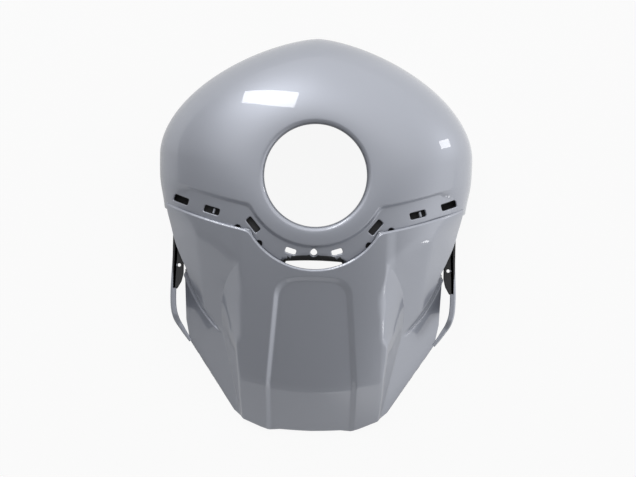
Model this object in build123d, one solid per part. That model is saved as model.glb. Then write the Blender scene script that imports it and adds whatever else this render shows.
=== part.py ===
from build123d import *
import math
import os

# Fuel tank cover of a motorbike: a domed front cover round the filler, a faceted rear cover behind it, and the
# screws that hold the two together. Millimetres; Z is the filler axis, Y points to the front, X to the right.

# Filler opening
FILLER_RADIUS = 65.0
LIP_DEPTH = 10.0
LIP_ROUND = 4.0

# Tank form: the smooth master shape that both covers are carved from
FORM_HALF_WIDTH = 209.0
FORM_FRONT = 187.0
FORM_REAR = 335.0
CROWN_FLAT = 7.0
WIDEST_AHEAD = 30.0
FORM_ROUND = 1.9
FRONT_TAPER = 0.34
SHOULDER_DROP = 100.0
RIM_DROP = 150.0
WALL_DRAFT = 6.0

# Moulding
WALL = 3.0
JOGGLE = 6.0

# Seam between the covers, seen from above
COLLAR_WIDTH = 24.0
SEAM_CORNER_X = 81.5
SEAM_CORNER_Y = -38.0
SEAM_SWEEP = 0.2
SEAM_CURL = 0.0008
FLANGE_SHOWN = 32.0
FLANGE_TUCK = 11.0
RELIEF_DIP = 12.5
RELIEF_HALF = 40.0
RELIEF_BOW = 6.0
RETURN_LIP_RUN = 6.0
RETURN_LIP_DROP = 10.0

# Slots in the flange for a trim strip, and its round holes
SLOT_LENGTH = 21.0
SLOT_WIDTH = 8.5
SLOT_NARROW = 8.0
SLOT_CORNER = 2.0
REAR_SLOT_LENGTH = 14.0
REAR_SLOT_WIDTH = 6.6
SOCKET_WALL = 2.0
SOCKET_DEPTH = 6.0
SLOT_MID_X = 132.0
SLOT_OUTER_X = 174.0
SLOT_ARC_ANGLE = 50.5
SLOT_REAR_ANGLE = 17.0
RIVET_HOLE_RADIUS = 4.0
PEG_HOLE_RADIUS = 4.0
PEG_INNER_X = 70.0
PEG_OUTER_X = 98.0

# Relief in the front rim for the steering head
HEAD_RELIEF_HALF = 70.0
HEAD_RELIEF_RISE = 28.0

# Side legs of the front cover
LEG_INSET = 19.0
LEG_BOW = 2.5
LEG_REAR = 197.0
LEG_TOP_DROP = 106.0
LEG_FLANGE = 8.0
LEG_TAPER = 22.0
TONGUE_REACH = 30.0
TONGUE_WIDTH = 11.0
TONGUE_DROP = 6.0
TAB_REACH = 12.5
TAB_FRONT = 74.0
TAB_LENGTH = 76.0
TAB_HOLE_RADIUS = 2.25

# Rear cover: ridges, bands, knee panels and wings
RIDGE_X = 98.0
RIDGE_END = 318.0
BAND_TAPER = 0.2
BAND_FOOT_DROP = 142.0
BAND_FOOT_SLOPE = 0.365
BAND_LEAN = 0.28
BAND_TWIST = 0.000015
KNEE_SLOPE = 0.8
KNEE_HALF_WIDTH = 174.0
KNEE_FRONT = 125.0
KNEE_CORNER = 195.0
KNEE_REAR_X = 168.0
KNEE_REAR = 224.0
WING_TIP_Y = -206.0
WING_SLOPE = 0.97
WING_FALL = 0.726
WING_BOW = 7.0
WING_FRONT_X = 197.0

# Rear cover: chin and central channel
CHIN_AXIS_Y = -95.0
CHIN_RADIUS = 185.0
CHIN_DROP = 75.0
CHIN_FLARE = 0.95
CHIN_CORNER = 319.0
CHIN_END = 345.0
CHIN_TAB = 2.5
CHANNEL_TOP = 133.0
CHANNEL_TOP_HALF = 43.0
CHANNEL_HALF = 57.0
CHANNEL_FOOT = 275.0
CHANNEL_DEPTH = 5.0
CHANNEL_ROUND = 14.0

# Screws and their seats
SCREW_RADIUS = 2.5
SCREW_LENGTH = 11.0
SCREW_HEAD_RADIUS = 6.0
SCREW_HEAD_HEIGHT = 3.2
SCREW_HEX = 2.0
SCREW_CLEARANCE = 0.5
BORE_CLEARANCE = 0.02
PAD_RADIUS = 9.0
PAD_THICKNESS = 4.0
SEAT_DROP = 12.0
BOSS_RADIUS = 6.0
INNER_SCREW_X = 62.0
INNER_SCREW_Y = -124.0
OUTER_SCREW_X = 118.0
OUTER_SCREW_Y = -92.0

TALL = 500.0
FAR = 320.0
CROWN_RADIUS = FILLER_RADIUS + CROWN_FLAT
LEG_X = FORM_HALF_WIDTH - LEG_INSET
RING_POINTS = 16
FORM_DEPTH = RIM_DROP + 10
SCREW_SPOTS = ((INNER_SCREW_X, INNER_SCREW_Y), (OUTER_SCREW_X, OUTER_SCREW_Y))


def form_level(z):
    """Half width, front reach, rear reach and fullness of the tank form's level line at height z."""
    drop = -z / SHOULDER_DROP
    if drop <= 1:
        full = (1 - (1 - drop) ** 2) ** (1 / FORM_ROUND)
        tail = 0.25 * full + 0.75 * drop
        return (CROWN_RADIUS + (FORM_HALF_WIDTH - CROWN_RADIUS) * full,
                CROWN_RADIUS + (FORM_FRONT - CROWN_RADIUS) * full,
                CROWN_RADIUS + (FORM_REAR - CROWN_RADIUS) * tail, full)
    lean = WALL_DRAFT * (-z - SHOULDER_DROP) / (RIM_DROP - SHOULDER_DROP)
    return FORM_HALF_WIDTH - lean, FORM_FRONT - 2 * lean, FORM_REAR - lean, 1.0


def form_point(z, angle):
    """Point of the level line at height z, at a bearing round the line's centre."""
    width, front, rear, full = form_level(z)
    centre = WIDEST_AHEAD * full
    c, s = math.cos(angle), math.sin(angle)
    power = 2.0 - FRONT_TAPER * full if s > 0 else 2.0
    reach = front - centre if s > 0 else rear + centre
    radius = (abs(c / width) ** power + abs(s / reach) ** power) ** (-1 / power)
    return Vector(radius * c, centre + radius * s, z)


def form_normal(z, angle):
    """Unit normal of the tank form, out of the tank, at a point of a level line."""
    if z > -1e-6:
        return Vector(0, 0, 1)
    along = form_point(z, angle + 1e-3) - form_point(z, angle - 1e-3)
    step = min(1e-2, -z / 2)
    down = form_point(z - step, angle) - form_point(z + step, angle)
    return down.cross(along).normalized()


def inset_point(z, angle, inset):
    """Point at height z, at a bearing, of the tank form with its skin moved in by the inset."""
    high, low = 0.0, -2 * FORM_DEPTH
    for _ in range(30):
        level = (high + low) / 2
        point = form_point(level, angle) - form_normal(level, angle) * inset
        high, low = (level, low) if point.Z > z else (high, level)
    return Vector(point.X, point.Y, z)


def form_height(x, y):
    """Height of the tank form above a plan point, found by halving the range of levels."""
    high, low = 0.0, -SHOULDER_DROP
    for _ in range(40):
        z = (high + low) / 2
        width, front, rear, full = form_level(z)
        dy = y - WIDEST_AHEAD * full
        power = 2.0 - FRONT_TAPER * full if dy > 0 else 2.0
        reach = front - WIDEST_AHEAD * full if dy > 0 else rear + WIDEST_AHEAD * full
        inside = abs(x / width) ** power + abs(dy / reach) ** power < 1
        high, low = (high, z) if inside else (z, low)
    return (high + low) / 2


def tank_form(inset):
    """The tank form with its skin moved in by the inset, as a loft of level lines."""
    rings = []
    levels = [-inset - drop * (SHOULDER_DROP - inset) for drop in (0.0, 0.025, 0.1, 0.25, 0.5, 0.77, 1.0)]
    for z in levels + [-FORM_DEPTH - 4 * inset]:
        ring = [inset_point(z, math.tau * i / RING_POINTS - math.pi / 2, inset) for i in range(RING_POINTS)]
        rings.append(Wire([Edge.make_spline(ring, parameters=range(RING_POINTS + 1), periodic=True)]))
    return Part() + Solid.make_loft(rings)


def prism(face):
    """A plan face carried through the whole height."""
    return extrude(Pos(0, 0, -TALL / 2) * face, TALL)


def below_plane(point, slope_x, slope_y, inset):
    """Everything under a sloping plane through a point, moved in by the inset."""
    normal = Vector(-slope_x, -slope_y, 1).normalized()
    return extrude(Plane(Vector(*point) - normal * inset, z_dir=normal) * Rectangle(4 * FAR, 4 * FAR), -TALL)


def seam_y(x, back):
    """The seam's flank line, moved back by a distance."""
    run = abs(x) - SEAM_CORNER_X
    return SEAM_CORNER_Y + SEAM_SWEEP * run + SEAM_CURL * run * run - back


def seam_face(back, dip, end_y):
    """Right half of the plan between the seam curve, which bends round behind the filler, and a line at end_y."""
    xs = [SEAM_CORNER_X + (FORM_HALF_WIDTH + 25 - SEAM_CORNER_X) * i / 4 for i in range(5)]
    flank = Spline(*[(x, seam_y(x, back)) for x in xs])
    corner = seam_y(SEAM_CORNER_X, back)
    middle = (dip * dip - SEAM_CORNER_X ** 2 - corner ** 2) / (2 * (dip + corner))
    radius = dip - middle
    turn = math.atan2(SEAM_CORNER_X, -corner - middle)
    halfway = (radius * math.sin(turn / 2), -middle - radius * math.cos(turn / 2))
    bend = ThreePointArc((0, -dip), halfway, (SEAM_CORNER_X, corner))
    x, y = xs[-1], seam_y(xs[-1], back)
    return make_face([bend, flank, Polyline((x, y), (x, end_y), (0, end_y), (0, -dip))])


step_dip = FILLER_RADIUS + COLLAR_WIDTH
cover_dip = step_dip + FLANGE_SHOWN
above_rim = Pos(0, 0, -RIM_DROP + TALL / 2) * Box(2 * FAR, 3 * FAR, TALL)

# Right half of the front cover: the dome ahead of the seam, and the flange one joggle lower behind it
front = tank_form(0) & prism(seam_face(0, step_dip, FAR))
front += tank_form(JOGGLE) & prism(seam_face(FLANGE_SHOWN + FLANGE_TUCK, cover_dip + FLANGE_TUCK, FAR))
front -= tank_form(WALL) & prism(seam_face(-WALL, step_dip - WALL, FAR))
front -= tank_form(JOGGLE + WALL)
front &= above_rim

# Filler opening with a lip that rolls over and turns down
front_adds = [Pos(0, 0, -LIP_DEPTH / 2 - 0.5) * Cylinder(FILLER_RADIUS + WALL, LIP_DEPTH - 1)]
roll = FILLER_RADIUS + LIP_ROUND
opening = make_face([
    Polyline((roll, 0), (roll, 20), (0, 20), (0, -TALL / 2), (FILLER_RADIUS, -TALL / 2), (FILLER_RADIUS, -LIP_ROUND)),
    RadiusArc((FILLER_RADIUS, -LIP_ROUND), (roll, 0), LIP_ROUND),
])
front_cuts = [revolve(Plane.XZ * opening, Axis.Z)]

# Relief at the middle of the flange, with a return lip that falls away behind it
relief_y = -step_dip - RELIEF_DIP
relief = make_face([
    ThreePointArc((-RELIEF_HALF, relief_y - RELIEF_BOW), (0, relief_y), (RELIEF_HALF, relief_y - RELIEF_BOW)),
    Polyline((RELIEF_HALF, relief_y - RELIEF_BOW), (RELIEF_HALF, -FAR), (-RELIEF_HALF, -FAR),
             (-RELIEF_HALF, relief_y - RELIEF_BOW)),
])
front_cuts.append(prism(relief))
lip_z = form_height(0, relief_y) - JOGGLE
lip_section = make_face(Plane.YZ * Polyline(
    (relief_y + 1, lip_z - 0.9 * WALL), (relief_y + 1, lip_z - 0.3 * WALL), (relief_y - 1, lip_z - 0.5 * WALL),
    (relief_y - RETURN_LIP_RUN, lip_z - RETURN_LIP_DROP), (relief_y - RETURN_LIP_RUN + WALL, lip_z - RETURN_LIP_DROP),
    close=True))
return_lip = extrude(lip_section, 0.6 * RELIEF_HALF)

# Slots and round holes of the flange, cut along the filler axis
slot = RectangleRounded(SLOT_LENGTH, SLOT_WIDTH, SLOT_CORNER)
narrow_slot = RectangleRounded(SLOT_LENGTH, SLOT_NARROW, SLOT_CORNER)
rear_slot = RectangleRounded(REAR_SLOT_LENGTH, REAR_SLOT_WIDTH, SLOT_CORNER)
slot_jacket = RectangleRounded(SLOT_LENGTH + 2 * SOCKET_WALL, SLOT_WIDTH + 2 * SOCKET_WALL, SLOT_CORNER)
narrow_jacket = RectangleRounded(SLOT_LENGTH + 2 * SOCKET_WALL, SLOT_NARROW + 2 * SOCKET_WALL, SLOT_CORNER)
peg_hole, peg_jacket = Circle(PEG_HOLE_RADIUS), Circle(PEG_HOLE_RADIUS + SOCKET_WALL)
slot_ring = step_dip + 0.37 * FLANGE_SHOWN
holes = [Pos(0, relief_y + RIVET_HOLE_RADIUS + 1.2) * Circle(RIVET_HOLE_RADIUS),
         Rot(0, 0, SLOT_REAR_ANGLE) * Pos(0, -slot_ring) * rear_slot]
blind = [(Rot(0, 0, SLOT_ARC_ANGLE) * Pos(0, -slot_ring), narrow_slot, narrow_jacket)]
for x in (SLOT_MID_X, SLOT_OUTER_X):
    lean = math.degrees(math.atan(SEAM_SWEEP + 2 * SEAM_CURL * (x - SEAM_CORNER_X)))
    blind.append((Pos(x, seam_y(x, 0.65 * FLANGE_SHOWN)) * Rot(0, 0, lean), slot, slot_jacket))
for x, y in ((PEG_INNER_X, -PEG_INNER_X - 18), (PEG_OUTER_X, seam_y(PEG_OUTER_X, FLANGE_SHOWN) - 2)):
    blind.append((Pos(x, y), peg_hole, peg_jacket))
holes += [place * opening for place, opening, _ in blind]
front_cuts += [extrude(Pos(0, 0, -SHOULDER_DROP) * hole, SHOULDER_DROP) for hole in holes]

# Blind sockets behind the clip slots and the peg holes
sockets = []
for place, opening, jacket in blind:
    foot = form_height(place.position.X + SLOT_LENGTH / 2, place.position.Y) - JOGGLE - WALL - SOCKET_DEPTH
    socket = extrude(Pos(0, 0, foot) * place * jacket, -foot)
    sockets.append(socket - extrude(Pos(0, 0, foot + SOCKET_WALL) * place * opening, -foot))
sockets = (Part() + sockets) & tank_form(JOGGLE + WALL / 3)

# Arched relief in the front rim
front_cuts.append(extrude(Plane.XZ * Pos(0, -RIM_DROP) * Ellipse(HEAD_RELIEF_HALF, HEAD_RELIEF_RISE), -FAR))


def leg_plan(depth):
    """Plan strip along the leg's outer line, with a depth towards the middle."""
    line = [(LEG_X + 3, -20), (LEG_X, -0.42 * LEG_REAR), (LEG_X + LEG_BOW, -0.83 * LEG_REAR), (LEG_X - 2, -LEG_REAR)]
    inner = [(x - depth, y) for x, y in line]
    return make_face([Spline(*line), Line(line[-1], inner[-1]), Spline(*reversed(inner)), Line(inner[0], line[0])])


# Leg: a wall with an inward flange on top, a tongue at the end and a tab with a hole on the inside
tongue_x, tongue_y = LEG_X - 3, -LEG_REAR + 4
tongue = make_face(Polyline(
    (tongue_x, tongue_y), (tongue_x - 0.6 * TONGUE_REACH, tongue_y - TONGUE_REACH),
    (tongue_x - 0.6 * TONGUE_REACH - 0.6 * TONGUE_WIDTH, tongue_y - TONGUE_REACH + 0.6 * TONGUE_WIDTH),
    (tongue_x - TONGUE_WIDTH, tongue_y + 4), (tongue_x, tongue_y + 8), close=True))
tab_y = -TAB_FRONT - TAB_LENGTH / 2
tab = Pos(LEG_X - TAB_REACH / 2 - 1, tab_y) * RectangleRounded(TAB_REACH, TAB_LENGTH, 4)
tab -= Pos(LEG_X - 0.7 * TAB_REACH, tab_y - 0.1 * TAB_LENGTH) * Circle(TAB_HOLE_RADIUS)
leg = extrude(Pos(0, 0, -RIM_DROP) * leg_plan(WALL), RIM_DROP - LEG_TOP_DROP)
leg_foot = make_face(Plane.YZ * Polyline((-55, -RIM_DROP), (-LEG_REAR - 5, -RIM_DROP + LEG_TAPER),
                                         (-LEG_REAR - 5, -RIM_DROP - 5), (-55, -RIM_DROP - 5), close=True))
leg -= extrude(leg_foot, FAR)
leg += extrude(Pos(0, 0, -LEG_TOP_DROP - WALL) * leg_plan(LEG_FLANGE), WALL)
leg += extrude(Pos(0, 0, -LEG_TOP_DROP - TONGUE_DROP - WALL) * tongue, WALL)
leg += extrude(Pos(0, 0, -LEG_TOP_DROP - WALL) * tab, WALL)


def band_foot(y):
    """Plan X and height of the line where the steep band meets the knee panel."""
    return RIDGE_X + BAND_TAPER * (y + RIDGE_END), -BAND_FOOT_DROP + BAND_FOOT_SLOPE * (y + RIDGE_END)


def cover_height(x, y):
    """Height of the rear cover's skin where the tank form or the wing's slope makes it."""
    foot_x, foot_z = band_foot(WING_TIP_Y)
    slope = foot_z - WING_SLOPE * (x - foot_x) + WING_FALL * (y - WING_TIP_Y)
    return min(form_height(x, y), slope) if x > RIDGE_X else form_height(x, y)


def seat_z(x, y):
    """Height of the face on which a boss of the rear cover stands on its pad."""
    return cover_height(x, y) - SEAT_DROP


# Pads behind the flange for the rear cover's bosses, each on a short web down from the flange
pads = []
for x, y in SCREW_SPOTS:
    z = seat_z(x, y)
    edge_y = seam_y(x, FLANGE_SHOWN) if x > SEAM_CORNER_X else -math.sqrt((cover_dip + 2) ** 2 - x * x)
    web_top = form_height(x, edge_y + 4) - JOGGLE - WALL
    plate = Pos(x, (edge_y + y) / 2) * Rectangle(2 * PAD_RADIUS, edge_y - y) + Pos(x, y) * Circle(PAD_RADIUS)
    web = Pos(x, edge_y + 1) * Rectangle(2 * PAD_RADIUS, PAD_THICKNESS)
    pad = extrude(Pos(0, 0, z - PAD_THICKNESS) * plate, PAD_THICKNESS)
    pad += extrude(Pos(0, 0, z - PAD_THICKNESS) * web, web_top - z + PAD_THICKNESS)
    pads.append(pad - Pos(x, y, z) * Cylinder(SCREW_RADIUS + SCREW_CLEARANCE, 4 * PAD_THICKNESS))

front += front_adds
front -= front_cuts
half_space = Pos(FAR, 0, 0) * Box(2 * FAR, 4 * FAR, TALL)
front &= half_space
front += [return_lip, leg, sockets] + pads
front_cover = front + mirror(front, about=Plane.YZ)


def chin(inset):
    """Cone that turns the rear cover down at its rear end."""
    low, high = -FORM_DEPTH - 40, 40.0
    radii = [CHIN_RADIUS - (CHIN_DROP + z) * CHIN_FLARE - inset * math.hypot(1, CHIN_FLARE) for z in (low, high)]
    return Pos(0, CHIN_AXIS_Y, (low + high) / 2) * Cone(radii[0], radii[1], high - low)


def flank(inset):
    """Body inside the right flank: a steep band under the ridge, then a knee panel that flares out."""
    sections = []
    for y in (30.0, -100.0, -205.0, -280.0, -360.0):
        x, z = band_foot(y)
        lean = BAND_LEAN + BAND_TWIST * (y + RIDGE_END) ** 2
        down = inset * math.hypot(1, KNEE_SLOPE)
        shift = (lean * down - inset * math.hypot(1, lean)) / (1 - lean * KNEE_SLOPE)
        x, z = x + shift, z - KNEE_SLOPE * shift - down
        ring = [(-20, z + 90), (x - lean * 90, z + 90), (x, z), (x + 90, z - 90 * KNEE_SLOPE),
                (x + 90, -TALL / 2), (-20, -TALL / 2)]
        sections.append(Wire.make_polygon([Vector(px, y, pz) for px, pz in ring], close=True))
    return Part() + Solid.make_loft(sections)


def wing(inset):
    """Wing that runs from the seam down to a point on the band's foot, over the front of the knee panel."""
    foot_x, foot_z = band_foot(WING_TIP_Y)
    tip, corner = Vector(foot_x, WING_TIP_Y), Vector(KNEE_HALF_WIDTH - 3, -KNEE_FRONT + 1)
    out = Vector(corner.Y - tip.Y, tip.X - corner.X).normalized()
    tip, corner = tip - out * inset, corner - out * inset
    middle = (tip + corner) / 2 + out * WING_BOW
    edge = ThreePointArc((tip.X, tip.Y), (middle.X, middle.Y), (corner.X, corner.Y))
    rest = Polyline((corner.X, corner.Y), (corner.X + 26, corner.Y + 10), (FAR, corner.Y + 40), (FAR, 60),
                    (40, 60), (40, tip.Y), (tip.X, tip.Y))
    return prism(make_face([edge, rest])) & below_plane((foot_x, WING_TIP_Y, foot_z), -WING_SLOPE, WING_FALL, inset)


def channel(inset):
    """Plan prism of the right half of the central recess and the channel that carries it over the chin."""
    top, foot = (CHANNEL_TOP_HALF + inset, -CHANNEL_TOP + inset), (CHANNEL_HALF + inset, -CHANNEL_FOOT)
    plan = make_face(Polyline((-20, top[1]), top, foot, (foot[0], -FAR - 60), (-20, -FAR - 60), close=True))
    return prism(fillet(plan.vertices().sort_by(Axis.Y)[-2:].sort_by(Axis.X)[-1], CHANNEL_ROUND))


def rear_body(inset):
    """Right half of the rear cover's solid envelope, with every face moved in by the inset."""
    body = chin(inset) & flank(inset)
    body += wing(inset)
    body &= rear_plan
    body &= tank_form(inset)
    floor = tank_form(inset + CHANNEL_DEPTH) & chin(inset + 0.8 * CHANNEL_DEPTH)
    body -= channel(inset) - floor
    return body


# Plan outline of the rear cover: wing edge, knee panel, diagonal to the chin, and the chin's lower edge
outline = make_face([
    Spline((WING_FRONT_X, -38), (0.965 * WING_FRONT_X, -77), (KNEE_HALF_WIDTH - 3, 1.5 - KNEE_FRONT)),
    Polyline((KNEE_HALF_WIDTH - 3, 1.5 - KNEE_FRONT), (KNEE_HALF_WIDTH, -KNEE_FRONT),
             (KNEE_HALF_WIDTH, -KNEE_CORNER), (KNEE_REAR_X, -KNEE_REAR), (RIDGE_X + 6, -CHIN_CORNER),
             (RIDGE_X - 7, -CHIN_CORNER - 11), (RIDGE_X - 31, 3.5 - CHIN_END), (CHANNEL_HALF, 1 - CHIN_END),
             (CHANNEL_HALF - 4, -CHIN_END - CHIN_TAB), (CHANNEL_HALF - 12, -CHIN_END), (0, -CHIN_END - 1),
             (0, 40), (WING_FRONT_X, 40), (WING_FRONT_X, -38)),
])
rear_plan = prism(outline) & prism(seam_face(FLANGE_SHOWN, cover_dip, -2 * FAR))
rear = rear_body(0) - rear_body(WALL)
rear &= above_rim
rear -= Pos(0, FAR - KNEE_FRONT, -RIM_DROP) * Box(2 * FAR, 2 * FAR, RIM_DROP - SHOULDER_DROP)

# Screw bosses on the underside, each ending flat on its pad
bosses = []
bores = []
for x, y in SCREW_SPOTS:
    z = cover_height(x, y)
    slope_x = (cover_height(x + 1, y) - cover_height(x - 1, y)) / 2
    slope_y = (cover_height(x, y + 1) - cover_height(x, y - 1)) / 2
    boss = Pos(x, y, seat_z(x, y) + SEAT_DROP / 2) * Cylinder(BOSS_RADIUS, SEAT_DROP)
    bosses.append(boss & below_plane((x, y, z), slope_x, slope_y, 0.6 * WALL))
    bore_depth = SCREW_LENGTH - PAD_THICKNESS + 0.5
    bores.append(Pos(x, y, seat_z(x, y) + bore_depth / 2) * Cylinder(SCREW_RADIUS + BORE_CLEARANCE, bore_depth))
rear = rear + bosses - bores
rear_cover = rear + mirror(rear, about=Plane.YZ)

# Screws: washer head under the pad, shank up through the pad into the boss
cover_screws = []
for x, y in SCREW_SPOTS:
    under = seat_z(x, y) - PAD_THICKNESS
    screw = Pos(x, y, under + SCREW_LENGTH / 2) * Cylinder(SCREW_RADIUS, SCREW_LENGTH)
    screw += Pos(x, y, under - SCREW_HEAD_HEIGHT / 2) * Cylinder(SCREW_HEAD_RADIUS, SCREW_HEAD_HEIGHT)
    socket = Pos(x, y, under - SCREW_HEAD_HEIGHT) * RegularPolygon(SCREW_HEX, 6)
    screw -= extrude(socket, 0.6 * SCREW_HEAD_HEIGHT)
    cover_screws += [screw.solid(), mirror(screw, about=Plane.YZ).solid()]

# The origin lies at the top of the opening's straight wall, just under the rolled edge
lift = Pos(0, 0, LIP_ROUND)
os.makedirs("parts", exist_ok=True)
export_step(lift * front_cover, "parts/front_cover.step")
export_step(lift * rear_cover, "parts/rear_cover.step")
export_step(lift * Compound(children=cover_screws), "parts/cover_screws.step")
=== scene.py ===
import bpy
import numpy as np
from mathutils import Matrix, Vector
from mathutils.geometry import delaunay_2d_cdt


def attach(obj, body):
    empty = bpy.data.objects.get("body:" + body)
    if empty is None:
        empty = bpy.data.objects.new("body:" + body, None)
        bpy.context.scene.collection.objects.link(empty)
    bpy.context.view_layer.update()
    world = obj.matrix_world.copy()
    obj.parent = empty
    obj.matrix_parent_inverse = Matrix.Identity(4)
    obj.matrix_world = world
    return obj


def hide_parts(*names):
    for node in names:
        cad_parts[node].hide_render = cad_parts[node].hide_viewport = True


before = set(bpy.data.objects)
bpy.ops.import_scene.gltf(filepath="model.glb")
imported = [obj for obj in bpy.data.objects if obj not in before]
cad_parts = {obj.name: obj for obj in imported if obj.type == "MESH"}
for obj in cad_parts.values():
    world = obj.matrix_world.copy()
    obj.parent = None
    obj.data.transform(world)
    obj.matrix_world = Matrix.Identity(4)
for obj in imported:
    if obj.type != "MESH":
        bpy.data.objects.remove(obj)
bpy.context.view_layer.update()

# Front cover: the dome round the filler, its rolled lip, and the flange that steps down behind it to go under
# the rear cover. One moulding in black plastic, sprayed grey and lacquered to a deep gloss, bare inside.
# The flange has slots for trim clips, holes for pegs and one for a rivet. Lengths are in millimetres.


class Shade:
    """A socket of a node tree; arithmetic on it adds Math nodes, and node() adds any other node."""

    def __init__(self, tree, socket=None):
        self.tree = tree
        self.socket = socket

    def node(self, kind, settings=(), out=0, **inputs):
        """Adds a node: its settings first, then its sockets by name, or by number as i0, i1 and so on."""
        made = self.tree.nodes.new(kind)
        for key, value in dict(settings).items():
            setattr(made, key, value)
        for key, value in inputs.items():
            place = made.inputs[int(key[1:]) if key[1:].isdigit() else key.replace("_", " ")]
            if isinstance(value, Shade):
                self.tree.links.new(value.socket, place)
            else:
                place.default_value = value
        return Shade(self.tree, made.outputs[out])

    def maths(self, operation, first, second):
        return self.node("ShaderNodeMath", {"operation": operation}, i0=first, i1=second)

    def __add__(self, other):
        return self.maths("ADD", self, other)

    def __mul__(self, other):
        return self.maths("MULTIPLY", self, other)

    def __sub__(self, other):
        return self.maths("SUBTRACT", self, other)

    def __rsub__(self, other):
        return self.maths("SUBTRACT", other, self)

    __radd__, __rmul__ = __add__, __mul__

    def rise(self, low, high):
        """Smooth rise from 0 to 1 while this value goes from low to high."""
        return self.node("ShaderNodeMapRange", {"interpolation_type": "SMOOTHSTEP"}, i0=self, i1=low, i2=high)

    def mix(self, first, second):
        """Colour between two colours, with this value as the factor."""
        return self.node("ShaderNodeMix", {"data_type": "RGBA"}, out=2, i0=self, i6=first, i7=second)


def new_finish(name, **constants):
    """A material with one Principled shader, its constant sockets set; gives it, its tree and its place."""
    material = bpy.data.materials.new(name)
    material.use_nodes = True
    shader = material.node_tree.nodes["Principled BSDF"]
    for key, value in constants.items():
        shader.inputs[key.replace("_", " ")].default_value = value
    tree = Shade(material.node_tree)
    return material, shader, tree, tree.node("ShaderNodeTexCoord", out=3)


def feed(shader, **links):
    """Leads what varies over the surface into the shader's sockets."""
    for key, value in links.items():
        value.tree.links.new(value.socket, shader.inputs[key.replace("_", " ")])


GREY, GREY_LIGHT = (0.375, 0.395, 0.452, 1), (0.405, 0.426, 0.486, 1)
grey_paint, shader, tree, place = new_finish("grey_lacquer", Metallic=0.7, Coat_Weight=1.0,
                                             Coat_Roughness=0.025, Coat_IOR=1.7)
flake = tree.node("ShaderNodeTexVoronoi", Vector=place, Scale=2600.0)
cloud = tree.node("ShaderNodeTexNoise", Vector=place, Scale=9.0, Detail=3.0)
peel = tree.node("ShaderNodeTexNoise", Vector=place, Scale=260.0, Detail=2.0)
feed(shader, Base_Color=(cloud * 0.5 + flake * 0.4).mix(GREY, GREY_LIGHT), Roughness=cloud * 0.1 + 0.4,
     Normal=tree.node("ShaderNodeBump", Height=peel, Strength=0.02, Distance=0.0004))

BLACK, BLACK_WORN = (0.028, 0.028, 0.029, 1), (0.05, 0.05, 0.053, 1)
black_plastic, shader, tree, place = new_finish("bare_black_plastic", Specular_IOR_Level=0.4)
grain = tree.node("ShaderNodeTexNoise", Vector=place, Scale=900.0, Detail=3.0)
smear = tree.node("ShaderNodeTexNoise", Vector=place, Scale=14.0, Detail=4.0)
feed(shader, Base_Color=smear.mix(BLACK, BLACK_WORN), Roughness=smear * 0.2 + 0.45,
     Normal=tree.node("ShaderNodeBump", Height=grain, Strength=0.25, Distance=0.0003))

MM = 0.001
LIFT = 4.0
WALL = 3.0
EDGE = WALL / 2
FILLER_RADIUS, LIP_ROUND, LIP_DEPTH, CROWN = 65.0, 6.5, 11.0, 72.0
FORM_HALF_WIDTH, FORM_FRONT, FORM_REAR, WIDEST_AHEAD = 209.0, 187.0, 335.0, 30.0
FORM_ROUND, TAIL_FULL, NOSE_ACROSS, NOSE_ALONG = 1.9, 0.25, 0.5, 0.15
SHOULDER_ARC, SHOULDER_DROP, RIM_DROP, WALL_DRAFT = 170.0, 100.0, 150.0, 6.0
RIM = CROWN + SHOULDER_ARC + RIM_DROP - SHOULDER_DROP
HALVINGS, NEWTON_STEPS, CORRECTIONS = 36, 12, 8


def form_level(skin):
    """Half width, front and rear reach, centre, fullness and height of the tank form's level line at a length
    along the skin: a rounded quarter turn from the crown ring to the shoulder, then a drafted wall."""
    turn = np.clip((skin - CROWN) / SHOULDER_ARC, 0, 1) * np.pi / 2
    under = np.maximum(skin - CROWN - SHOULDER_ARC, 0)
    full = np.sin(turn) ** (2 / FORM_ROUND)
    drop = 1 - np.cos(turn)
    lean = WALL_DRAFT * under / (RIM_DROP - SHOULDER_DROP)
    tail = TAIL_FULL * full + (1 - TAIL_FULL) * drop
    width = CROWN + (FORM_HALF_WIDTH - CROWN) * full - lean
    front = CROWN + (FORM_FRONT - CROWN) * full - 2 * lean
    rear = CROWN + (FORM_REAR - CROWN) * tail - lean
    return width, front, rear, WIDEST_AHEAD * full, full, -SHOULDER_DROP * drop - under


def level_reach(front, rear, centre, full, ahead):
    """Reach of a level line ahead of its centre or behind it, and its roundness across and along: an ellipse
    behind, and ahead a curve whose powers fall below 2 as it fills out, so that it narrows to the nose."""
    reach = np.where(ahead, front - centre, rear + centre)
    return reach, np.where(ahead, 2 - NOSE_ACROSS * full, 2.0), np.where(ahead, 2 - NOSE_ALONG * full, 2.0)


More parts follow.
